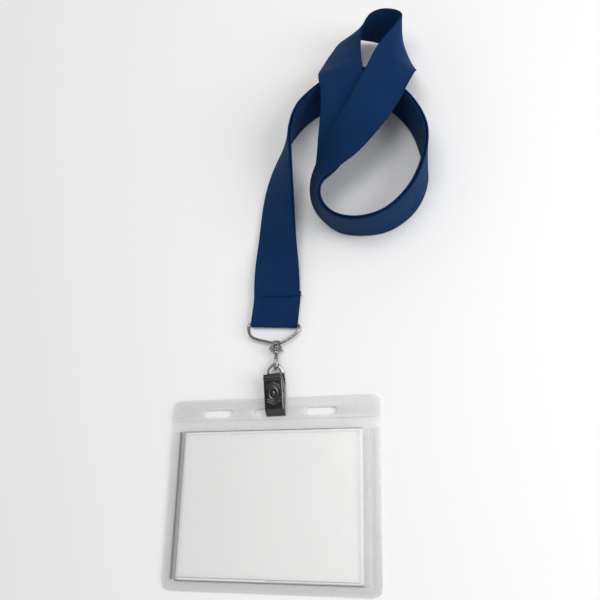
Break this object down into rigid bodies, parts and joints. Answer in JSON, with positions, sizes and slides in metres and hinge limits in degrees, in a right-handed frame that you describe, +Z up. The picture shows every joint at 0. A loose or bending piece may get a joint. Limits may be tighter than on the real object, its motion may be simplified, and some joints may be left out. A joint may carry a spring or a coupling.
{
  "type": "lanyard badge holder",
  "caption": "Flat woven neck strap, sewn round a wire ring, with a swivel and spring clip holding a clear vinyl card holder with a blank card.",
  "frame": {"origin": "on the table, under the middle of the whole object's box", "axes": "+X to the right across the holder, +Y from the holder towards the neck end of the strap, +Z up out of the table"},
  "size_m": [0.1392, 0.304, 0.0304],
  "materials": {
    "navy_ribbon": "fine cross-ribbed polyester weave with a slight sheen",
    "navy_thread": "polyester sewing thread",
    "nickel": "bright nickel plate",
    "spring_steel": "drawn spring wire",
    "frosted_vinyl": "flexible vinyl, faintly frosted",
    "clear_vinyl": "flexible clear vinyl, glossy",
    "card": "uncoated white card"
  },
  "bodies": {
    "strap": {"strap_ribbon": "navy_ribbon", "bar_tack_front": "navy_thread", "bar_tack_back": "navy_thread"},
    "ring": {"wire_ring": "nickel"},
    "yoke": {"swivel_yoke": "nickel", "swivel_washer": "nickel"},
    "link": {"swivel_rivet": "nickel", "link_loop": "nickel"},
    "clip": {"clip_back_jaw": "nickel", "clip_pivot_pin": "nickel", "clip_spring": "spring_steel"},
    "lever": {"clip_front_lever": "nickel"},
    "holder": {"holder_back_sheet": "frosted_vinyl", "holder_header_strip": "frosted_vinyl", "holder_front_sheet": "clear_vinyl"},
    "insert": {"insert_card": "card"}
  },
  "joints": [
    {"name": "ring_tilt", "type": "hinge", "parent": "strap", "child": "ring", "pos_m": [-0.01659, -0.02097, 0.00208], "axis": [0.9972, -0.075, 0], "range_deg": [-60, 60]},
    {"name": "yoke_tilt", "type": "hinge", "parent": "ring", "child": "yoke", "pos_m": [-0.01469, -0.03172, 0.00288], "axis": [1, 0, 0], "range_deg": [-30, 30]},
    {"name": "swivel_spin", "type": "hinge", "parent": "yoke", "child": "link", "pos_m": [-0.01469, -0.0355, 0.00288], "axis": [0, 1, 0], "continuous": true},
    {"name": "clip_swing", "type": "hinge", "parent": "link", "child": "clip", "pos_m": [-0.01469, -0.04532, 0.00288], "axis": [0, 0, 1], "range_deg": [-25, 25]},
    {"name": "clip_lever_open", "type": "hinge", "parent": "clip", "child": "lever", "pos_m": [-0.01429, -0.05697, 0.00388], "axis": [-0.9994, -0.0349, 0], "range_deg": [0, 20], "stiffness_Nm_per_rad": 0.08, "springref_deg": -14.32, "deforming": ["clip_spring"]},
    {"name": "holder_slide", "type": "slide", "parent": "clip", "child": "holder", "axis": [0, -1, 0], "range_m": [0, 0.009]},
    {"name": "insert_slide", "type": "slide", "parent": "holder", "child": "insert", "axis": [0, 1, 0], "range_m": [0, 0.0062]}
  ]
}
